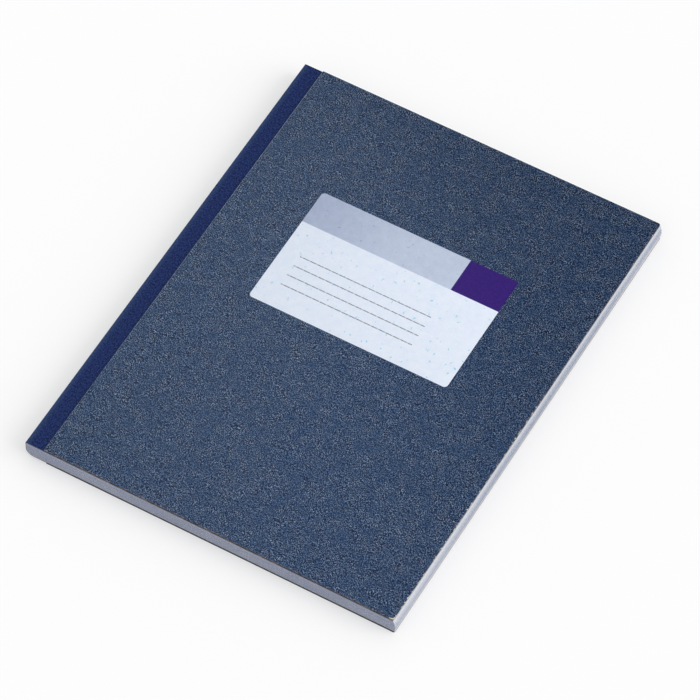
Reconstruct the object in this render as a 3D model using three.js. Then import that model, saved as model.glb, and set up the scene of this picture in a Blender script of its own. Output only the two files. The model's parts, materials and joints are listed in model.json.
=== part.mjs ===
// A glued notebook, closed and lying on its back cover.
// Millimetres, +Z up, +X from the spine to the fore-edge, +Y from the tail to the head.
// The origin is the middle of the footprint, on the table.
import * as THREE from "three";

// Cut size of the book
const bookWidth = 160; // from the spine's outer face to the front cover's fore-edge
const bookHeight = 210;

// Thickness of each sheet
const boardThickness = 0.85;
const coverPaperThickness = 0.12;
const endpaperThickness = 0.1;
const clothThickness = 0.3;
const liningThickness = 0.1;
const glueThickness = 0.1; // with the lining, as thick as two endpaper leaves: the cloth runs level
const leafThickness = 0.066;

// The glued block of leaves, one solid for each few leaves
const bundleLeafCount = 4;
const lowerBundleCount = 12; // below the opening in the middle of the block
const upperBundleCount = 12;
const spineCornerRadius = 2.6; // the block's rounded back corner at the spine
const foreEdgeLean = 0.5; // how much further the back cover reaches than the front cover
const foreEdgeBow = 0.45; // how far the fore-edge swells out at half its height

// The cloth strip round the spine
const clothShown = 8.3; // from the spine to the front board's edge
const clothTuck = 5; // under the edge of each board

// The title label on the front cover
const labelWidth = 87.3;
const labelHeight = 57.3;
const labelThickness = 0.08;
const labelCornerRadius = 1.6;
const labelFromSpine = 38.5;
const labelFromTail = 100.5;

// Heights above the table, from the back cover up
const backBoardTop = coverPaperThickness + boardThickness;
const backPastedownTop = backBoardTop + endpaperThickness;
const blockBottom = backPastedownTop + endpaperThickness;
const bundleThickness = bundleLeafCount * leafThickness;
const bundleCount = lowerBundleCount + upperBundleCount;
const blockTop = blockBottom + bundleCount * bundleThickness;
const frontFlyleafTop = blockTop + endpaperThickness;
const frontPastedownTop = frontFlyleafTop + endpaperThickness;
const frontBoardTop = frontPastedownTop + boardThickness;
const frontCoverTop = frontBoardTop + coverPaperThickness;

// Distances from the spine's outer face
const leafEdge = clothThickness + liningThickness + glueThickness;
const backHinge = leafEdge + spineCornerRadius;
const backBoardEdge = clothShown + foreEdgeLean;
const backForeEdge = bookWidth + foreEdgeLean;

function finish(color, roughness) {
  return new THREE.MeshStandardMaterial({ color, roughness, metalness: 0 });
}

const speckledPaper = finish(0x3e4e66, 0.6);
const navyCloth = finish(0x232f5f, 0.85);
const greyboard = finish(0x8a8578, 0.9);
const endpaper = finish(0xe9e7e0, 0.85);
const writingPaper = finish(0xdfe2ea, 0.85);
const liningPaper = finish(0xcfc6ae, 0.9);
const clearGlue = finish(0xe8e0c4, 0.5);
const labelPaper = finish(0xe1e8f5, 0.6);

const notebook = new THREE.Group();

// A piece with the same end view all the way from tail to head.
// Its outline is a list of [distance from the spine, height above the table].
function addLengthwise(name, outline, material) {
  const points = outline.map(([x, z]) => new THREE.Vector2(x, z));
  const geometry = new THREE.ExtrudeGeometry(new THREE.Shape(points), {
    depth: bookHeight,
    bevelEnabled: false,
  });
  geometry.rotateX(Math.PI / 2);
  geometry.translate(0, bookHeight / 2, 0);
  const mesh = new THREE.Mesh(geometry, material);
  mesh.name = name;
  notebook.add(mesh);
}

function addSheet(name, [left, right], [bottom, top], material) {
  const outline = [
    [left, bottom],
    [right, bottom],
    [right, top],
    [left, top],
  ];
  addLengthwise(name, outline, material);
}

// Height of the face below bundle number index, counted from the back.
function bundleLevel(index) {
  return blockBottom + index * bundleThickness;
}

// A point of the spine, or of the line that lies the given distance outside the leaves.
// The block's back corner is an arc, and above it the spine is upright.
function spinePoint(index, outside) {
  const drop = spineCornerRadius - index * bundleThickness;
  if (drop <= 0) return [leafEdge - outside, bundleLevel(index)];
  const slope = Math.asin(drop / spineCornerRadius);
  const radius = spineCornerRadius + outside;
  return [
    backHinge - radius * Math.cos(slope),
    blockBottom + spineCornerRadius - radius * Math.sin(slope),
  ];
}

// Distance of the leaves' fore-edge from the spine, at the face below bundle number index.
function foreEdgeAt(index) {
  const down = 1 - index / bundleCount;
  return bookWidth + foreEdgeLean * down + foreEdgeBow * 4 * down * (1 - down);
}

// Back cover: paper, board with a rebate for the tucked cloth, and the glued endpaper leaf
function addBackCover() {
  const clothBottom = backBoardTop - clothThickness;
  addSheet(
    "back_cover_paper",
    [backBoardEdge, backForeEdge],
    [0, coverPaperThickness],
    speckledPaper,
  );
  const boardOutline = [
    [backBoardEdge, coverPaperThickness],
    [backForeEdge, coverPaperThickness],
    [backForeEdge, backBoardTop],
    [backBoardEdge + clothTuck, backBoardTop],
    [backBoardEdge + clothTuck, clothBottom],
    [backBoardEdge, clothBottom],
  ];
  addLengthwise("back_board", boardOutline, greyboard);
  addSheet(
    "cloth_back_strip",
    [backHinge, backBoardEdge + clothTuck],
    [clothBottom, backBoardTop],
    navyCloth,
  );
  addSheet(
    "back_pastedown",
    [backHinge, backForeEdge],
    [backBoardTop, backPastedownTop],
    endpaper,
  );
}

// Front cover: the same sheets the other way up, with the label on top
function addFrontCover() {
  const clothTop = frontPastedownTop + clothThickness;
  addSheet(
    "front_pastedown",
    [clothThickness, bookWidth],
    [frontFlyleafTop, frontPastedownTop],
    endpaper,
  );
  const clothOutline = [
    [0, frontFlyleafTop],
    [clothThickness, frontFlyleafTop],
    [clothThickness, frontPastedownTop],
    [clothShown + clothTuck, frontPastedownTop],
    [clothShown + clothTuck, clothTop],
    [0, clothTop],
  ];
  addLengthwise("cloth_front_strip", clothOutline, navyCloth);
  const boardOutline = [
    [clothShown, clothTop],
    [clothShown + clothTuck, clothTop],
    [clothShown + clothTuck, frontPastedownTop],
    [bookWidth, frontPastedownTop],
    [bookWidth, frontBoardTop],
    [clothShown, frontBoardTop],
  ];
  addLengthwise("front_board", boardOutline, greyboard);
  addSheet(
    "front_cover_paper",
    [clothShown, bookWidth],
    [frontBoardTop, frontCoverTop],
    speckledPaper,
  );
}

// The free leaf of each folded endpaper
function addFlyleaves() {
  addSheet(
    "back_flyleaf",
    [backHinge, backForeEdge],
    [backPastedownTop, blockBottom],
    endpaper,
  );
  addSheet(
    "front_flyleaf",
    [leafEdge, bookWidth],
    [blockTop, frontFlyleafTop],
    endpaper,
  );
}

// The leaves, from the back to the front, four to a solid
function addLeaves() {
  for (let index = 0; index < bundleCount; index += 1) {
    const bottom = bundleLevel(index);
    const top = bundleLevel(index + 1);
    const outline = [
      spinePoint(index, 0),
      [foreEdgeAt(index), bottom],
      [foreEdgeAt(index + 1), top],
      spinePoint(index + 1, 0),
    ];
    const number = String(index + 1).padStart(2, "0");
    addLengthwise("leaves_" + number, outline, writingPaper);
  }
}

// One layer of the spine between two bundle faces, from its inner to its outer distance
// outside the leaves. A layer that covers the endpaper's fold too ends at its top.
function addSpineLayer(name, [first, last], [inner, outer], top, material) {
  const innerLine = [];
  const outerLine = [];
  for (let index = first; index <= last; index += 1) {
    innerLine.push(spinePoint(index, inner));
    outerLine.push(spinePoint(index, outer));
  }
  if (top > bundleLevel(last)) {
    innerLine.push([leafEdge - inner, top]);
    outerLine.push([leafEdge - outer, top]);
  }
  addLengthwise(name, [...innerLine, ...outerLine.reverse()], material);
}

// Glue, paper lining and cloth on the spine, in a lower and an upper stretch
function addSpine() {
  const glue = [0, glueThickness];
  const lining = [glueThickness, glueThickness + liningThickness];
  const cloth = [glueThickness + liningThickness, leafEdge];
  const lower = [0, lowerBundleCount];
  const upper = [lowerBundleCount, bundleCount];
  const middle = bundleLevel(lowerBundleCount);
  addSpineLayer("spine_glue_lower", lower, glue, middle, clearGlue);
  addSpineLayer("spine_glue_upper", upper, glue, blockTop, clearGlue);
  addSpineLayer("spine_lining_lower", lower, lining, middle, liningPaper);
  addSpineLayer("spine_lining_upper", upper, lining, frontFlyleafTop, liningPaper);
  addSpineLayer("cloth_spine_lower", lower, cloth, middle, navyCloth);
  addSpineLayer("cloth_spine_upper", upper, cloth, frontFlyleafTop, navyCloth);
}

// The label, a thin sheet with round corners, glued to the front cover
function addTitleLabel() {
  const r = labelCornerRadius;
  const outline = new THREE.Shape();
  outline.absarc(labelWidth - r, r, r, -Math.PI / 2, 0);
  outline.absarc(labelWidth - r, labelHeight - r, r, 0, Math.PI / 2);
  outline.absarc(r, labelHeight - r, r, Math.PI / 2, Math.PI);
  outline.absarc(r, r, r, Math.PI, Math.PI * 1.5);
  const geometry = new THREE.ExtrudeGeometry(outline, {
    depth: labelThickness,
    bevelEnabled: false,
    curveSegments: 6,
  });
  const mesh = new THREE.Mesh(geometry, labelPaper);
  mesh.name = "title_label";
  mesh.position.set(labelFromSpine, labelFromTail - bookHeight / 2, frontCoverTop);
  notebook.add(mesh);
}

addBackCover();
addFlyleaves();
addLeaves();
addSpine();
addFrontCover();
addTitleLabel();

// The pieces are drawn from the spine's outer face: this puts the footprint's middle at the origin
const foreEdges = Array.from({ length: bundleCount + 1 }, (_, index) => foreEdgeAt(index));
notebook.position.x = -Math.max(...foreEdges) / 2;

export default notebook;
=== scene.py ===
import json
import math
import random

import bpy
import numpy as np
from mathutils import Matrix, Vector

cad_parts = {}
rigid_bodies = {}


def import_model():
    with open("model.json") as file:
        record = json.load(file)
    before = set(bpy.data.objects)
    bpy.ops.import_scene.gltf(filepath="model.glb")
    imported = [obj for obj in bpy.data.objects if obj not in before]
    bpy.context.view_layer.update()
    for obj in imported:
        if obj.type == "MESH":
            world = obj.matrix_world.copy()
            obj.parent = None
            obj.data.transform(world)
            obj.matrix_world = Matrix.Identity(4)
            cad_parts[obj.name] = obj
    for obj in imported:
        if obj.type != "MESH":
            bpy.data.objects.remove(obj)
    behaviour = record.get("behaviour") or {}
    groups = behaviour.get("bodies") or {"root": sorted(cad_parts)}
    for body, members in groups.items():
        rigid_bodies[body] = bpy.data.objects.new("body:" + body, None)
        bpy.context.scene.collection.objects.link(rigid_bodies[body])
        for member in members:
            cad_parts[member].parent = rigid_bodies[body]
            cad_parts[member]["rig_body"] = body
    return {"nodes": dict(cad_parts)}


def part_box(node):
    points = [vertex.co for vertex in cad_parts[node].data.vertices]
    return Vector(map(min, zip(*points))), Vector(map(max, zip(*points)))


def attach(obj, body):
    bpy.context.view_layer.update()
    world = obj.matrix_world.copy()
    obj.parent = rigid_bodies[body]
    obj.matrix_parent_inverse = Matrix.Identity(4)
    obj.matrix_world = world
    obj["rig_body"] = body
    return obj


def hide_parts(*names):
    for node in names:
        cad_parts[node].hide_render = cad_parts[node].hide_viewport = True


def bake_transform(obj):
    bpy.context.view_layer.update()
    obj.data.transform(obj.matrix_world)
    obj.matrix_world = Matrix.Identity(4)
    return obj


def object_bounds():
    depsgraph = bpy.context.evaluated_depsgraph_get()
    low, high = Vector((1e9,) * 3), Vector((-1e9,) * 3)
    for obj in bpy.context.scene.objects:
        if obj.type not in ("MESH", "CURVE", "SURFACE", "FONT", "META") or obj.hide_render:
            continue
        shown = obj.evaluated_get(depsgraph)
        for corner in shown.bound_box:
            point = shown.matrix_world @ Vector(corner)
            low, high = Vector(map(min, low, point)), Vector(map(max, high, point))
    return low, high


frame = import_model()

# A glued notebook, closed and lying on its back cover, in metres.
# +X runs from the spine to the fore-edge, +Y from the tail to the head, and +Z up, from the back
# cover to the front cover.
cad_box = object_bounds()
millimetre = 0.001
bpy.ops.object.select_all(action="DESELECT")

# Camera
# A long lens looks down on the front cover from the tail's side, a little round to the fore-edge.
camera_azimuth = math.radians(29.934)
camera_elevation = math.radians(54.746)
camera_distance = 2.0079
camera_target = Vector((0.00184, -0.002, 0))
towards_camera = Vector(
    (
        math.sin(camera_azimuth) * math.cos(camera_elevation),
        -math.cos(camera_azimuth) * math.cos(camera_elevation),
        math.sin(camera_elevation),
    )
)
bpy.ops.object.camera_add(location=camera_target + towards_camera * camera_distance)
camera = bpy.context.object
camera.rotation_euler = towards_camera.to_track_quat("Z", "Y").to_euler()
camera.data.lens = 268.66
camera.data.sensor_width = 36
camera.data.clip_end = 20
bpy.context.scene.camera = camera
bpy.context.scene.view_settings.view_transform = "Standard"


# Studio
# A white floor under an even white sky, and a soft key lamp from the fore-edge's side.
# A long softbox beyond the head is only mirrored: it is the sheen on the front cover.
class Wire:
    """An output in a node tree. Sums, differences and products of wires add Math nodes."""

    def __init__(self, tree, socket=None):
        self.tree = tree
        self.socket = socket

    def node(self, kind, settings, inputs, output=0):
        """Adds a node, sets it up, then gives its inputs their values or wires."""
        made = self.tree.nodes.new("ShaderNode" + kind)
        for setting, value in settings.items():
            setattr(made, setting, value)
        for name, value in inputs.items():
            if isinstance(value, Wire):
                self.tree.links.new(value.socket, made.inputs[name])
            else:
                made.inputs[name].default_value = value
        return Wire(self.tree, made.outputs[output])

    def maths(self, operation, *terms):
        return self.node("Math", {"operation": operation}, dict(enumerate(terms)))

    def __add__(self, other):
        return self.maths("ADD", self, other)

    def __sub__(self, other):
        return self.maths("SUBTRACT", self, other)

    def __rsub__(self, other):
        return self.maths("SUBTRACT", other, self)

    def __mul__(self, other):
        return self.maths("MULTIPLY", self, other)

    __radd__ = __add__
    __rmul__ = __mul__

    def size(self):
        return self.maths("ABSOLUTE", self)

    def fraction(self):
        return self.maths("FRACT", self)

    def wave(self):
        return self.maths("SINE", self)

    def least(self, other):
        return self.maths("MINIMUM", self, other)

    def most(self, other):
        return self.maths("MAXIMUM", self, other)

    def rise(self, start, end):
        """0 up to start, 1 from end on and smooth between. It falls where end is below start."""
        steps = {"Value": self, "From Min": start, "From Max": end}
        return self.node("MapRange", {"interpolation_type": "SMOOTHSTEP"}, steps)

    def between(self, first, second):
        """The first colour where this mask is 0, and the second where it is 1."""
        return self.node("Mix", {"data_type": "RGBA"}, {0: self, 6: first, 7: second}, 2)

    def to(self, socket):
        self.tree.links.new(self.socket, socket)


def colour(red, green, blue):
    """A colour as seen on a screen, in steps of 255, for a shader."""
    linear = []
    for step in (red, green, blue):
        share = step / 255
        linear.append(share / 12.92 if share <= 0.04045 else ((share + 0.055) / 1.055) ** 2.4)
    return (*linear, 1)


def seen_by_camera(tree):
    """1 where the camera looks, also in a mirror or through glass, and 0 where the rest is lit."""
    ray = Wire(tree)
    seen = ray.node("LightPath", {}, {}, "Is Camera Ray")
    seen = seen.most(ray.node("LightPath", {}, {}, "Is Transmission Ray"))
    return seen.most(ray.node("LightPath", {}, {}, "Is Glossy Ray"))


sky_strength = 0.78
world = bpy.data.worlds.new("studio_sky")
bpy.context.scene.world = world
world.use_nodes = True
sky = world.node_tree.nodes["Background"]
sky.inputs["Color"].default_value = (1, 1, 1, 1)
seen = seen_by_camera(world.node_tree)
(seen * (1 - sky_strength) + sky_strength).to(sky.inputs["Strength"])

key_direction = Vector((0.88, 0.16, 0.45)).normalized()
bpy.ops.object.light_add(type="SUN", rotation=key_direction.to_track_quat("Z", "Y").to_euler())
key_lamp = bpy.context.object
key_lamp.data.energy = 1.35
key_lamp.data.angle = math.radians(50)

softbox_distance = 0.4
softbox_length = 0.7
softbox_width = 0.52
glint_place = Vector((0.005, -0.275, 0))
glint_edge = Vector((0.72, -0.69, 0))  # the sheen's edge runs along the cover's diagonal
towards_softbox = Vector((-towards_camera.x, -towards_camera.y, towards_camera.z))
along_edge = (glint_edge - towards_softbox * glint_edge.dot(towards_softbox)).normalized()
softbox_axes = Matrix((along_edge, towards_softbox.cross(along_edge), towards_softbox)).transposed()
bpy.ops.object.light_add(
    type="AREA",
    location=glint_place + towards_softbox * softbox_distance,
    rotation=softbox_axes.to_euler(),
)
softbox = bpy.context.object
softbox.data.shape = "RECTANGLE"
softbox.data.size = softbox_length
softbox.data.size_y = softbox_width
softbox.data.color = (0.73, 0.87, 1)
softbox.data.energy = 4.1
softbox.visible_diffuse = False

floor_size = 12
floor_drop = 0.02 * millimetre  # so that the cover's underside and the floor aren't one plane
floor_glow = 0.4  # the part of its white that doesn't depend on the light that falls on it
bpy.ops.mesh.primitive_plane_add(size=floor_size, location=(0, 0, -floor_drop))
floor = bpy.context.object
floor.name = "studio_floor"
floor_finish = bpy.data.materials.new("studio_floor")
floor_finish.use_nodes = True
floor_tree = floor_finish.node_tree
floor_tree.nodes.remove(floor_tree.nodes["Principled BSDF"])
seen = seen_by_camera(floor_tree)
floor_white = seen.between(colour(165, 165, 165), (1, 1, 1, 1))
lit = seen.node("BsdfDiffuse", {}, {"Color": floor_white})
glow = seen.node("Emission", {}, {"Color": (1, 1, 1, 1), "Strength": 1.0})
shown = seen.node("MixShader", {}, {0: seen * floor_glow, 1: lit, 2: glow})
shown.to(floor_tree.nodes["Material Output"].inputs["Surface"])
floor.data.materials.append(floor_finish)

# Leaves
# 96 thin leaves of writing paper, ruled in pale blue, four to each bundle.
# They are gathered in a block, trimmed on three sides and held by the glue on the spine.
leaves_in_bundle = 4
leaf_share = 0.91  # of a leaf's room that its paper fills, and the rest is air
leaf_trim = 0.03 * millimetre  # how far a trimmed edge may stand back
glue_gap = 0.006 * millimetre
edge_wave = 0.008 * millimetre  # half the height of each ripple along a leaf's edges
wave_across = 17  # radians of the ripples from a leaf's spine to its fore-edge
wave_along = 31  # radians of the ripples from its tail to its head
ruling_pitch = 8 * millimetre
ruling_shift = 0.25  # of the pitch
ruling_width = 0.28 * millimetre
ruling_margin = 14 * millimetre
ruling_fade = 0.1 * millimetre
ruling_stop = 1 * millimetre  # bare paper at the fore-edge
shade_deepens = (5 * millimetre, 100 * millimetre)  # from the tail, where the fore-edge's painted shade deepens
bounce_lit = (150 * millimetre, 205 * millimetre)  # from the tail, where painted bounce light pales it low down


def select_only(piece):
    bpy.ops.object.select_all(action="DESELECT")
    piece.select_set(True)
    bpy.context.view_layer.objects.active = piece


def apply_modifier(piece, kind, **settings):
    """Adds a modifier with its settings and applies it."""
    select_only(piece)
    bpy.ops.object.modifier_add(type=kind)
    modifier = piece.modifiers[-1]
    for setting, value in settings.items():
        setattr(modifier, setting, value)
    bpy.ops.object.modifier_apply(modifier=modifier.name)


def new_finish(name, roughness, specular):
    """A material for paper, board or cloth, with its shader and a wire of places on the piece."""
    material = bpy.data.materials.new(name)
    material.use_nodes = True
    shader = material.node_tree.nodes["Principled BSDF"]
    shader.inputs["Roughness"].default_value = roughness
    shader.inputs["Specular IOR Level"].default_value = specular
    place = Wire(material.node_tree).node("TexCoord", {}, {}, "Object")
    return material, shader, place


def noise(place, grain, stretch=(1, 1, 1), detail=2.0):
    """Noise with grains of the given size, drawn out along an axis whose stretch is under 1."""
    drawn = place.node("VectorMath", {"operation": "MULTIPLY"}, {0: place, 1: stretch})
    return place.node("TexNoise", {}, {"Vector": drawn, "Scale": 1 / grain, "Detail": detail})


def axes(place):
    """The three coordinates of a place, each as a wire."""
    split = place.node("SeparateXYZ", {}, {"Vector": place}).socket.node
    return [Wire(place.tree, output) for output in split.outputs]


def facing(place, axis):
    """1 where the surface faces up or down the axis, and 0 where it lies along it."""
    normal = place.node("TexCoord", {}, {}, "Normal")
    return axes(normal)[axis].size().rise(0.5, 0.8)


def bump(shader, height, depth, strength=1.0):
    bumped = height.node("Bump", {}, {"Height": height, "Distance": depth, "Strength": strength})
    bumped.to(shader.inputs["Normal"])


block_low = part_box("leaves_01")[0]
block_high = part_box("leaves_24")[1]
block_spine_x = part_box("leaves_24")[0].x

leaf_finish, shader, place = new_finish("writing_paper", 0.85, 0.06)
x, y, z = axes(place)
fibres = noise(place, 0.5 * millimetre, detail=3)
page = fibres.between(colour(225, 228, 232), colour(234, 236, 239))
line_phase = (y * (1 / ruling_pitch) + ruling_shift).fraction()
half_line = ruling_width / ruling_pitch / 2
on_line = (line_phase - 0.5).size().rise(half_line * 1.3, half_line * 0.7)
on_page = (block_high.y - y).rise(ruling_margin, ruling_margin + ruling_fade)
on_page = on_page * x.rise(block_high.x - ruling_stop * 0.8, block_high.x - ruling_stop)
page = (on_line * on_page * 0.8).between(page, colour(128, 160, 204))
layers = noise(place, 0.11 * millimetre, (0.012, 0.012, 1), detail=3)
cut_marks = noise(place, 0.35 * millimetre, (1, 1, 0.05))
shade = (layers * 0.7 + cut_marks * 0.3).rise(0.25, 0.75)
# The tail and head edges are painted darker than the pages and the fore-edge, as shade.
shaded_ends = shade.between(colour(148, 155, 181), colour(174, 182, 208))
# Painted shade half way up the fore-edge, less at the tail and the top; painted bounce light low at the
# head.
up_block = (z - block_low.z) * (1 / (block_high.z - block_low.z))
from_tail = y - block_low.y
past_tail = from_tail.rise(*shade_deepens)
fore_edge_shade = up_block.rise(0, 0.2) * (up_block - past_tail * 0.2).rise(1.4, 0.3)
fore_edge_shade = fore_edge_shade * (past_tail * 0.25 + 0.65) * (1 - up_block.rise(0.7, 0.95) * 0.5)
bounce_lit_corner = from_tail.rise(*bounce_lit) * up_block.rise(0.7, 0)
fore_edge_shade = fore_edge_shade * (1 - bounce_lit_corner * 0.7)
lit_fore_edge = shade.between(colour(217, 219, 231), colour(235, 236, 244))
fore_edge = fore_edge_shade.between(lit_fore_edge, shade.between(colour(114, 126, 154), colour(138, 150, 178)))
edge = facing(place, 0).between(shaded_ends, fore_edge)
facing(place, 2).between(edge, page).to(shader.inputs["Base Color"])
bump(shader, layers, 0.02 * millimetre, 0.6)

bpy.ops.object.select_all(action="DESELECT")
bpy.ops.mesh.primitive_grid_add(x_subdivisions=12, y_subdivisions=24, size=1, location=(0.5, 0, 0))
one_bundle = bpy.context.object
bpy.ops.object.transform_apply(location=True)
apply_modifier(one_bundle, "SOLIDIFY", thickness=leaf_share, offset=1)
apply_modifier(
    one_bundle,
    "ARRAY",
    count=leaves_in_bundle,
    use_relative_offset=False,
    use_constant_offset=True,
    constant_offset_displace=(0, 0, 1),
)


def end_view(node):
    """The x of a bundle's spine edge and fore-edge, at its bottom and then at its top."""
    points = [vertex.co for vertex in frame["nodes"][node].data.vertices]
    low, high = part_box(node)
    tolerance = 0.01 * millimetre
    rows = []
    for level in (low.z, high.z):
        row = [point.x for point in points if abs(point.z - level) < tolerance]
        rows.append((min(row), max(row)))
    return rows


leaf_dice = random.Random(24)
face_slack = 0.01  # of a leaf, so that its lower face counts as its own
for node, solid in sorted(frame["nodes"].items()):
    if not node.startswith("leaves_"):
        continue
    select_only(one_bundle)
    bpy.ops.object.duplicate()
    bundle = bpy.context.object
    bundle.name = node.replace("leaves", "leaf_bundle")
    bundle.data.name = bundle.name
    low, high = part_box(node)
    (spine_below, fore_below), (spine_above, fore_above) = end_view(node)
    points = np.empty(len(bundle.data.vertices) * 3)
    bundle.data.vertices.foreach_get("co", points)
    points = points.reshape(-1, 3)
    across, along, up = points.T
    leaf = np.floor(up + face_slack).astype(int)
    level = (leaf + 0.5) / leaves_in_bundle
    trims = np.array(
        [[leaf_dice.uniform(0, leaf_trim) for _ in range(3)] for _ in range(leaves_in_bundle)]
    )
    starts = np.array([leaf_dice.uniform(0, math.tau) for _ in range(leaves_in_bundle)])[leaf]
    wave = edge_wave * (2 + np.sin(along * wave_along + starts) + np.sin(across * wave_across + starts))
    set_back = trims[leaf] + wave[:, None]
    spine = spine_below + (spine_above - spine_below) * level + glue_gap
    fore = fore_below + (fore_above - fore_below) * level - set_back[:, 0]
    tail = low.y + set_back[:, 1]
    head = high.y - set_back[:, 2]
    placed = np.stack(
        [
            spine + (fore - spine) * across,
            tail + (head - tail) * (along + 0.5),
            low.z + (high.z - low.z) * up / leaves_in_bundle,
        ],
        axis=1,
    )
    bundle.data.vertices.foreach_set("co", placed.ravel())
    bundle.data.materials.append(leaf_finish)
    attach(bundle, solid["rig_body"])
    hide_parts(node)
bpy.data.objects.remove(one_bundle)

# Spine glue and lining
# The block's spine is brushed with white glue, and a strip of grey paper is laid on it.
# Each runs unbroken from the back hinge up the spine.
spine_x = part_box("cloth_front_strip")[0].x
tail_y, head_y = cad_box[0].y, cad_box[1].y
hinge_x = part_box("cloth_spine_lower")[1].x
corner_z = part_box("cloth_spine_lower")[0].z + hinge_x - spine_x
cloth_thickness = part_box("spine_lining_lower")[0].x - spine_x
lining_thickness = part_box("spine_glue_lower")[0].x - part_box("spine_lining_lower")[0].x
glue_thickness = block_spine_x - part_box("spine_glue_lower")[0].x
bend_step = 0.12 * millimetre


def arc(centre, radius, first, last, count):
    """Points of an arc in the end view. Its angles turn from straight down to the spine, in degrees."""
    turns = [math.radians(first + (last - first) * step / count) for step in range(count + 1)]
    x, z = centre
    return [(x - radius * math.sin(turn), z - radius * math.cos(turn)) for turn in turns]


def run(start, end, step):
    """Points of a straight run in the end view, after its first point."""
    count = math.ceil(math.dist(start, end) / step)
    (x, z), (run_x, run_z) = start, (end[0] - start[0], end[1] - start[1])
    return [(x + run_x * step / count, z + run_z * step / count) for step in range(1, count + 1)]


def spine_path(inset, top):
    """The middle of a layer that lies inside the cloth's outer face, from the back hinge to its top."""
    path = arc((hinge_x, corner_z), hinge_x - spine_x - inset, 0, 90, 20)
    return path + run(path[-1], (spine_x + inset, top), bend_step)


def strip_along(name, path, thickness, lengthwise=60):
    """A strip as long as the book, bent to follow a path of (x, z) points down its middle."""
    bpy.ops.object.select_all(action="DESELECT")
    bpy.ops.mesh.primitive_grid_add(x_subdivisions=len(path) - 1, y_subdivisions=lengthwise, size=1)
    strip = bpy.context.object
    strip.name = name
    strip.data.name = name
    path = np.array(path)
    reached = np.concatenate([[0], np.cumsum(np.linalg.norm(np.diff(path, axis=0), axis=1))])
    points = np.empty(len(strip.data.vertices) * 3)
    strip.data.vertices.foreach_get("co", points)
    points = points.reshape(-1, 3)
    column = np.rint((points[:, 0] + 0.5) * (len(path) - 1)).astype(int)
    across = reached[column]
    along = (points[:, 1] + 0.5) * (head_y - tail_y)
    placed = np.stack([path[column, 0], tail_y + along, path[column, 1]], axis=1)
    strip.data.vertices.foreach_set("co", placed.ravel())
    corners = np.empty(len(strip.data.loops), dtype=np.int32)
    strip.data.loops.foreach_get("vertex_index", corners)
    flat = np.stack([across[corners], along[corners]], axis=1)
    strip.data.uv_layers.active.data.foreach_set("uv", flat.ravel())
    apply_modifier(strip, "SOLIDIFY", thickness=thickness, offset=0, use_even_offset=True)
    bpy.ops.object.mode_set(mode="EDIT")
    bpy.ops.mesh.select_all(action="SELECT")
    bpy.ops.mesh.normals_make_consistent(inside=False)
    bpy.ops.object.mode_set(mode="OBJECT")
    bpy.ops.object.shade_smooth_by_angle(angle=math.radians(40))
    return strip, reached[-1]


glue_finish, shader, place = new_finish("white_glue", 0.5, 0.3)
brushed = noise(place, 1.2 * millimetre, (1, 0.15, 1), detail=3)
brushed.between(colour(186, 186, 182), colour(208, 208, 202)).to(shader.inputs["Base Color"])
bump(shader, brushed, 0.05 * millimetre)

lining_finish, shader, place = new_finish("lining_paper", 0.9, 0.15)
pulp = noise(place, 0.4 * millimetre, (1, 0.4, 1), detail=4)
pulp.between(colour(150, 156, 160), colour(186, 190, 192)).to(shader.inputs["Base Color"])
bump(shader, pulp, 0.03 * millimetre)

glue_inset = cloth_thickness + lining_thickness + glue_thickness / 2
glue_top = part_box("spine_glue_upper")[1].z
spine_glue, _ = strip_along("spine_glue", spine_path(glue_inset, glue_top), glue_thickness)
spine_glue.data.materials.append(glue_finish)
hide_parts("spine_glue_lower", "spine_glue_upper")

lining_inset = cloth_thickness + lining_thickness / 2
lining_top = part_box("spine_lining_upper")[1].z
spine_lining, _ = strip_along("spine_lining", spine_path(lining_inset, lining_top), lining_thickness)
spine_lining.data.materials.append(lining_finish)
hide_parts("spine_lining_lower", "spine_lining_upper")

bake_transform(spine_glue)
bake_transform(spine_lining)

# Endpapers
# A sheet of plain stout paper, folded once, at each end of the block.
# One leaf is pasted to the board, with a fold at the hinge, and the other lies free.
endpaper_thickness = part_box("front_flyleaf")[1].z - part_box("front_flyleaf")[0].z
fold_bend = 0.6 * millimetre  # how much of the pasted leaf bends at the hinge
fold_step = 0.06 * millimetre
pasted_step = 8 * millimetre
free_step = 6 * millimetre
free_share = 0.94  # of its room that a free leaf fills

endpaper_finish, shader, place = new_finish("endpaper", 0.85, 0.1)
pulp = noise(place, 0.6 * millimetre, detail=4)
clouds = noise(place, 9 * millimetre)
page = (pulp * 0.6 + clouds * 0.4).between(colour(228, 226, 218), colour(243, 242, 237))
# The tail and head edges are painted darker than the fore-edge, as shade.
edge = facing(place, 0).between(colour(134, 136, 148), colour(240, 234, 234))
facing(place, 2).between(edge, page).to(shader.inputs["Base Color"])
bump(shader, pulp, 0.02 * millimetre)


def pasted_leaf(name, node, upright):
    """The pasted leaf and the fold at its hinge, which turns up where upright is 1 and down at -1."""
    low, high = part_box(node)
    half = endpaper_thickness / 2
    level = (low.z + high.z) / 2
    folded_x = fold_x[node] + half
    turn = arc((folded_x + half, level + upright * half), half, 90, 0 if upright > 0 else 180, 4)
    path = [(folded_x, level + upright * (endpaper_thickness + half * 0.6)), *turn]
    path += run(turn[-1], (turn[-1][0] + 2 * fold_bend, level), fold_step)
    path += run(path[-1], (high.x, level), pasted_step)
    leaf, _ = strip_along(name, path, endpaper_thickness)
    leaf.data.materials.append(endpaper_finish)
    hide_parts(node)
    return leaf


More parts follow.
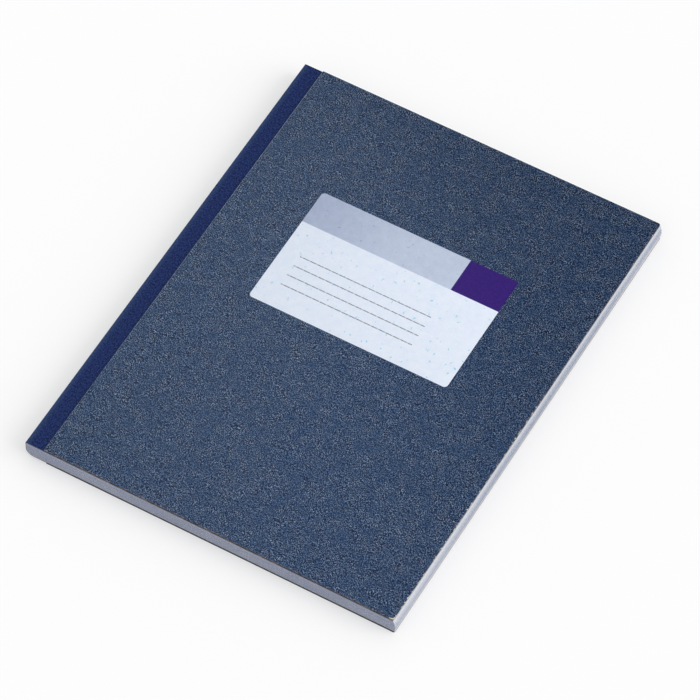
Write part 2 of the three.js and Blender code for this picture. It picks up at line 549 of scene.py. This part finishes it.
fold_x = {"front_pastedown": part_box("spine_glue_upper")[0].x, "back_pastedown": hinge_x}
pasted_front = pasted_leaf("endpaper_front_pasted", "front_pastedown", -1)
front_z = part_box("front_pastedown")[0].z
bend_start = Vector((block_spine_x, 0, front_z))
bend_end = bend_start + Vector((fold_bend, 0, 0))
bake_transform(pasted_front)
pasted_back = pasted_leaf("endpaper_back_pasted", "back_pastedown", 1)
bend_end = Vector((hinge_x + endpaper_thickness, 0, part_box("back_pastedown")[0].z))
bend_start = bend_end + Vector((fold_bend, 0, 0))
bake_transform(pasted_back)

for node, name, body, first_x in (
    ("front_flyleaf", "endpaper_front_free", "free_front_endpaper", block_spine_x),
    ("back_flyleaf", "endpaper_back_free", "free_back_endpaper", hinge_x + endpaper_thickness),
):
    low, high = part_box(node)
    level = (low.z + high.z) / 2
    path = [(first_x, level), *run((first_x, level), (high.x, level), free_step)]
    leaf, _ = strip_along(name, path, endpaper_thickness * free_share)
    leaf.data.materials.append(endpaper_finish)
    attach(leaf, body)
    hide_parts(node)

# Boards
# Two boards of grey pulp, cut flush with the leaves, bare at their edges.
# Along the spine each is rebated for the cloth that is tucked under it.
board_softening = 0.06 * millimetre
worn_corner = 0.7 * millimetre
paling_from_head = 90 * millimetre  # from the head, where the fore-edge starts to grow paler
paling_to_tail = 5 * millimetre  # from the tail, where it is palest
cloth_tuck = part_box("cloth_front_strip")[1].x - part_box("front_board")[0].x


def board_finish(name, dark, light, patched, pale_share, pale_share_at_tail):
    """Raw greyboard, pressed in plies and flecked, with browner patches and a paler fore-edge."""
    finish, shader, place = new_finish(name, 0.9, 0.15)
    plies = noise(place, 0.16 * millimetre, (0.04, 0.04, 1), detail=3)
    specks = noise(place, 0.35 * millimetre)
    grey = (plies * 0.4 + specks * 0.6).rise(0.25, 0.75).between(dark, light)
    patches = noise(place, 3 * millimetre, (1, 1, 0.5), detail=4).rise(0.44, 0.66)
    on_fore_edge = facing(place, 0)
    grey = (patches * patched * (1 - on_fore_edge * 0.6)).between(grey, colour(152, 134, 122))
    # A paler fore-edge, more towards the tail; on the back board this is painted light from the key
    # lamp.
    towards_tail = axes(place)[1].rise(head_y - paling_from_head, tail_y + paling_to_tail)
    fore_edge_pale = on_fore_edge * (towards_tail * pale_share_at_tail + pale_share)
    fore_edge_pale.between(grey, colour(196, 194, 198)).to(shader.inputs["Base Color"])
    bump(shader, plies + specks, 0.05 * millimetre)
    return finish


def new_slab(name, low, high):
    """A slab of paper or board, as a box at its size and place."""
    bpy.ops.object.select_all(action="DESELECT")
    bpy.ops.mesh.primitive_cube_add(size=1, location=(low + high) / 2, scale=high - low)
    slab = bpy.context.object
    slab.name = name
    slab.data.name = name
    bpy.ops.object.transform_apply(location=True, rotation=True, scale=True)
    return slab


def select_in_edit(piece, mode, chosen):
    """Opens the piece for editing with only the chosen faces or edges selected."""
    select_only(piece)
    bpy.ops.object.mode_set(mode="EDIT")
    bpy.ops.mesh.select_mode(type=mode)
    bpy.ops.mesh.select_all(action="DESELECT")
    bpy.ops.object.mode_set(mode="OBJECT")
    for part in piece.data.polygons if mode == "FACE" else piece.data.edges:
        part.select = chosen(part)
    bpy.ops.object.mode_set(mode="EDIT")


def round_fore_corners(piece, radius):
    """Rounds the upright edges at the two fore-edge corners."""
    points = [vertex.co.copy() for vertex in piece.data.vertices]
    fore_x = max(point.x for point in points)

    def upright(edge):
        a, b = (points[index] for index in edge.vertices)
        return min(a.x, b.x) > fore_x - radius and abs(a.z - b.z) > math.hypot(a.x - b.x, a.y - b.y)

    select_in_edit(piece, "EDGE", upright)
    bpy.ops.mesh.bevel(offset=radius, segments=5, affect="EDGES")
    bpy.ops.object.mode_set(mode="OBJECT")


def new_board(name, node, rebate_z, up):
    """A board: a thin tongue over the cloth, drawn out to the fore-edge and thicker past the tuck."""
    low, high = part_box(node)
    tuck_x = low.x + cloth_tuck
    tongue_low = Vector((low.x, low.y, low.z if up else rebate_z))
    tongue_high = Vector((tuck_x, high.y, rebate_z if up else high.z))
    board = new_slab(name, tongue_low, tongue_high)
    select_in_edit(board, "FACE", lambda face: face.normal.x > 0.9)
    bpy.ops.mesh.extrude_region_move(TRANSFORM_OT_translate={"value": (high.x - tuck_x, 0, 0)})
    bpy.ops.object.mode_set(mode="OBJECT")
    side = 1 if up else -1
    select_in_edit(board, "FACE", lambda face: face.normal.z * side > 0.9 and face.center.x > tuck_x)
    thicker = (0, 0, side * cloth_thickness)
    bpy.ops.mesh.extrude_region_move(TRANSFORM_OT_translate={"value": thicker})
    bpy.ops.mesh.select_all(action="SELECT")
    bpy.ops.mesh.remove_doubles(threshold=0.001 * millimetre)
    bpy.ops.mesh.dissolve_limited(angle_limit=math.radians(1))
    bpy.ops.mesh.normals_make_consistent(inside=False)
    bpy.ops.object.mode_set(mode="OBJECT")
    round_fore_corners(board, worn_corner)
    apply_modifier(board, "BEVEL", width=board_softening, segments=2, limit_method="ANGLE")
    bpy.ops.object.shade_smooth_by_angle(angle=math.radians(30))
    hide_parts(node)
    return board


front_board = new_board("greyboard_front", "front_board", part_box("cloth_front_strip")[1].z, up=False)
front_grey = board_finish(
    "greyboard_front",
    colour(46, 41, 42),
    colour(86, 78, 76),
    patched=0.65,
    pale_share=0.2,
    pale_share_at_tail=0.53,
)
front_board.data.materials.append(front_grey)
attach(front_board, "front_cover")
back_board = new_board("greyboard_back", "back_board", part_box("cloth_back_strip")[0].z, up=True)
# The back board is painted darker than the front, as shade where it lies on the floor; its paler
# fore-edge is painted light.
shaded_back_grey = board_finish(
    "greyboard_back",
    colour(34, 36, 38),
    colour(64, 66, 68),
    patched=0.1,
    pale_share=0.75,
    pale_share_at_tail=0.1,
)
back_board.data.materials.append(shaded_back_grey)
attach(back_board, "back_cover")

# Cover papers
# Blue paper with a printed mottle and an embossed leather grain is glued to the outside of each board.
# It is cut with the board, so its pale core shows as a hair line at the edges, with small chips.
grain_size = 0.32 * millimetre
swirl_size = 6 * millimetre
swirl_reach = 3.2 * millimetre  # how far the swirls bend the grain
lively_size = 3.6 * millimetre  # patches where the grain stands out more, or less
core_width = 0.16 * millimetre
chip_size = 1.1 * millimetre
chip_reach = 0.4 * millimetre  # how far the chips reach in from the tail and the fore-edge
chipped_corner = (2.6 * millimetre, 0.9 * millimetre)  # more chips at the tail's fore-edge corner
chipped_by_cloth = (1.6 * millimetre, 0.5 * millimetre)  # more chips where the tail meets the cloth
whole_edge = (100 * millimetre, 30 * millimetre)  # from the head, where the chips thin out
brown_chips = (5 * millimetre, 3 * millimetre)  # from the fore-edge, where the chips are browner
paper_softening = 0.04 * millimetre

cover_finish, shader, place = new_finish("embossed_blue_paper", 0.45, 0.05)
x, y, _ = axes(place)
swirl = place.node("TexNoise", {}, {"Vector": place, "Scale": 1 / swirl_size, "Detail": 1.0}, "Color")
warp = {0: swirl, 1: (swirl_reach, swirl_reach, 0), 2: place}
warped = place.node("VectorMath", {"operation": "MULTIPLY_ADD"}, warp)
strokes = noise(warped, grain_size, (1, 0.66, 1), detail=1.5)
pebbles = noise(place, grain_size * 0.6, detail=1.0)
relief = strokes * 0.65 + pebbles * 0.35
liveliness = noise(place, lively_size).rise(0.32, 0.68) * 0.6 + 0.38
# Hollows of the grain are painted dark as shade; its tops pale, partly printed flecks, partly painted
# highlight.
ground_and_hollow_shade = relief.rise(0.43, 0.54) * (1.34 - liveliness * 0.94)
ground_and_hollow_shade = ground_and_hollow_shade.between(colour(4, 4, 30), colour(12, 53, 91))
flecks = relief.rise(0.54, 0.6) * liveliness
grain_and_painted_light = flecks.between(ground_and_hollow_shade, colour(122, 144, 173))
paper_low, paper_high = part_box("front_cover_paper")
core_shown = y.rise(tail_y, head_y) * 0.25 + 0.25
spine_line = (x - paper_low.x).rise(core_width, core_width * 0.5) * core_shown
face = spine_line.between(grain_and_painted_light, colour(186, 198, 216))
to_tail = y - tail_y
to_fore_edge = paper_high.x - x
at_corner = (to_tail + to_fore_edge).rise(*chipped_corner)
by_cloth = (to_tail + (x - paper_low.x)).rise(*chipped_by_cloth)
chips = noise(place, chip_size, detail=3) - to_tail.least(to_fore_edge) * (0.12 / chip_reach)
chips = chips + at_corner * 0.26 + by_cloth * 0.1 - (head_y - y).rise(*whole_edge) * 0.07
pulp = to_fore_edge.rise(*brown_chips).between(colour(140, 124, 114), colour(222, 216, 196))
face = (chips.rise(0.53, 0.57) * 0.85).between(face, pulp)
soiled = noise(place, 0.4 * millimetre).rise(0.35, 0.65)
cut_side = soiled.between(colour(78, 86, 102), colour(140, 146, 156))
facing(place, 2).between(cut_side, face).to(shader.inputs["Base Color"])
(relief.rise(0.47, 0.57) * 0.4).to(shader.inputs["Coat Weight"])
shader.inputs["Coat Roughness"].default_value = 0.45
bump(shader, relief, 0.1 * millimetre)

for node, name, body in (
    ("front_cover_paper", "cover_paper_front", "front_cover"),
    ("back_cover_paper", "cover_paper_back", "back_cover"),
):
    low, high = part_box(node)
    paper = new_slab(name, low, high)
    round_fore_corners(paper, worn_corner)
    apply_modifier(paper, "BEVEL", width=paper_softening, segments=2, limit_method="ANGLE")
    bpy.ops.object.shade_smooth_by_angle(angle=math.radians(30))
    paper.data.materials.append(cover_finish)
    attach(paper, body)
    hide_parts(node)

# Spine cloth
# One strip of navy bookcloth wraps the spine, paler where it is rubbed, and is tucked under each board.
# It is made in three stretches, one for each hinge line that it bends over: back, middle and front.
thread_pitch = 0.36 * millimetre
thread_wobble = 0.6
rubbed_width = 3 * millimetre  # from the spine's edge
cloth_middle = cloth_thickness / 2
cloth_corner = 0.25 * millimetre  # radius of the cloth's middle at the front corner
back_cut = 40  # degrees up the spine's round corner, where the back stretch ends
front_cut_z = 6.6 * millimetre
back_bend = 1.0 * millimetre
front_bend_drop = 0.25 * millimetre  # below the pasted endpaper, where the bend starts
flat_step = 1.5 * millimetre
cloth_rows = 105  # faces from the tail to the head

cloth_finish, shader, place = new_finish("navy_bookcloth", 0.8, 0.08)
flat = place.node("TexCoord", {}, {}, "UV")
across, along, _ = axes(flat)
wobble = noise(flat, 1.6 * millimetre) * thread_wobble
warp_threads = (across * (math.tau / thread_pitch) + wobble).wave()
weft_threads = (along * (math.tau / thread_pitch) + wobble).wave()
weave = warp_threads * weft_threads * 0.5 + 0.5
slubs = noise(flat, 0.5 * millimetre, (1, 0.6, 1))
dyed = (weave * 0.2 + slubs * 0.8).rise(0.37, 0.63).between(colour(0, 2, 42), colour(30, 52, 108))
pale_share = (axes(place)[0] - spine_x).rise(rubbed_width, 0)
dyed = (pale_share * 0.25).between(dyed, colour(70, 96, 128))
facing(place, 1).between(dyed, colour(96, 114, 122)).to(shader.inputs["Base Color"])
bump(shader, weave * 0.6 + slubs * 0.4, 0.06 * millimetre, 0.7)

back_low, back_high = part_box("cloth_back_strip")
back_level = (back_low.z + back_high.z) / 2
front_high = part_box("cloth_front_strip")[1]
cloth_radius = hinge_x - spine_x - cloth_middle
corner_centre = (spine_x + cloth_middle + cloth_corner, front_high.z - cloth_middle - cloth_corner)

back_edge = (back_high.x, back_level)
before_bend = (hinge_x + 2 * back_bend, back_level)
back_path = [back_edge, *run(back_edge, before_bend, flat_step)]
back_path += run(before_bend, (hinge_x, back_level), bend_step)
back_path += arc((hinge_x, corner_z), cloth_radius, 0, back_cut, 10)[1:]
cloth_back, back_width = strip_along("spine_cloth_back", back_path, cloth_thickness, cloth_rows)

middle_path = arc((hinge_x, corner_z), cloth_radius, back_cut, 90, 12)
middle_path += run(middle_path[-1], (middle_path[-1][0], front_cut_z), bend_step)
cloth_middle_part, middle_width = strip_along(
    "spine_cloth_middle",
    middle_path,
    cloth_thickness,
    cloth_rows,
)

corner = arc(corner_centre, cloth_corner, 90, 180, 8)
front_cut = (corner[0][0], front_cut_z)
front_path = [front_cut, *run(front_cut, corner[0], bend_step), *corner[1:]]
front_path += run(corner[-1], (corner[-1][0] + back_bend, corner[-1][1]), bend_step)
front_path += run(front_path[-1], (front_high.x, corner[-1][1]), flat_step)
cloth_front, front_width = strip_along("spine_cloth_front", front_path, cloth_thickness, cloth_rows)

for cloth, nodes in (
    (cloth_back, ["cloth_back_strip"]),
    (cloth_middle_part, ["cloth_spine_lower", "cloth_spine_upper"]),
    (cloth_front, ["cloth_front_strip"]),
):
    cloth.data.materials.append(cloth_finish)
    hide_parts(*nodes)

bend_start = Vector((hinge_x + back_bend, 0, back_level))
bend_end = Vector((hinge_x - back_bend, 0, back_level))
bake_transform(cloth_back)
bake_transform(cloth_middle_part)
bend_start = Vector((spine_x + cloth_middle, 0, front_z - front_bend_drop))
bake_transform(cloth_front)

# Label
# A label of recycled paper with round corners is glued to the front cover.
# It is printed with a grey band, a plain purple square and four dotted lines to write on.
label_low, label_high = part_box("title_label")
label_corner = 1.6 * millimetre
label_softening = 0.02 * millimetre
band_bottom = label_low.y + 41.1 * millimetre
square_left = label_low.x + 66.2 * millimetre
first_line = label_low.y + 25.9 * millimetre
line_spacing = 4.97 * millimetre
line_count = 4
line_left = label_low.x + 8 * millimetre
line_right = square_left
line_width = 0.37 * millimetre
dot_pitch = 0.54 * millimetre
band_paling_start = line_left - 16 * millimetre  # where the band's grey starts to pale
band_paling_end = line_left + 42 * millimetre
crisp = 0.04 * millimetre  # half the width of a printed edge

label_finish, shader, place = new_finish("printed_label", 0.6, 0.08)
x, y, _ = axes(place)
pulp = noise(place, 0.5 * millimetre, detail=3)
blotches = noise(place, 2.6 * millimetre, detail=2)
mottle = (pulp * 0.5 + blotches * 0.5).rise(0.3, 0.7)
white = mottle.between(colour(217, 227, 242), colour(228, 234, 246))
strewn = noise(place, 1.5 * millimetre, (1, 0.7, 1), detail=2)
flecks = (strewn + x.rise(square_left, label_high.x) * 0.02).rise(0.67, 0.73)
paper = (flecks * 0.8).between(white, colour(136, 203, 224))
in_band = y.rise(band_bottom - crisp, band_bottom + crisp)
in_square = in_band * x.rise(square_left - crisp, square_left + crisp)
# The grey band grows paler to the right.
paler_rightwards = x.rise(band_paling_start, band_paling_end)
grey = (paler_rightwards * 0.65 + mottle * 0.35).between(colour(157, 169, 195), colour(190, 200, 220))
grey = (flecks * 0.7).between(grey, colour(128, 152, 180))
purple = pulp.rise(0.3, 0.7).between(colour(39, 16, 97), colour(53, 22, 111))
nearest = (y - first_line) * (1 / line_spacing)
phase = nearest.maths("ROUND", nearest).most(1 - line_count).least(0)
off_line = (nearest - phase).size() * line_spacing
dots = (x * (1 / dot_pitch)).fraction()
inked = off_line.rise(line_width * 0.65, line_width * 0.45) * dots.rise(0.86, 0.78)
uneven = (x * (math.tau / (3 * dot_pitch))).wave() + (x * (math.tau / (6 * dot_pitch))).wave()
inked = inked * (uneven * 0.28 + 0.97) * x.rise(line_left - crisp, line_left + crisp)
inked = inked * x.rise(line_right + crisp, line_right - crisp)
printed = inked.between(paper, colour(70, 68, 82))
printed = in_band.between(printed, grey)
in_square.between(printed, purple).to(shader.inputs["Base Color"])
bump(shader, pulp, 0.015 * millimetre)

bpy.ops.object.select_all(action="DESELECT")
bpy.ops.mesh.primitive_plane_add(size=1, location=(label_low + label_high) / 2)
label = bpy.context.object
label.name = "label_printed"
label.data.name = label.name
label.scale = (label_high.x - label_low.x, label_high.y - label_low.y, 1)
bpy.ops.object.transform_apply(location=True, rotation=True, scale=True)
bpy.ops.object.mode_set(mode="EDIT")
bpy.ops.mesh.select_all(action="SELECT")
bpy.ops.mesh.bevel(offset=label_corner, segments=10, affect="VERTICES")
bpy.ops.object.mode_set(mode="OBJECT")
apply_modifier(label, "SOLIDIFY", thickness=label_high.z - label_low.z, offset=0)
apply_modifier(label, "BEVEL", width=label_softening, segments=2, limit_method="ANGLE")
bpy.ops.object.shade_smooth_by_angle(angle=math.radians(30))
label.data.materials.append(label_finish)
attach(label, "front_cover")
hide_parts("title_label")
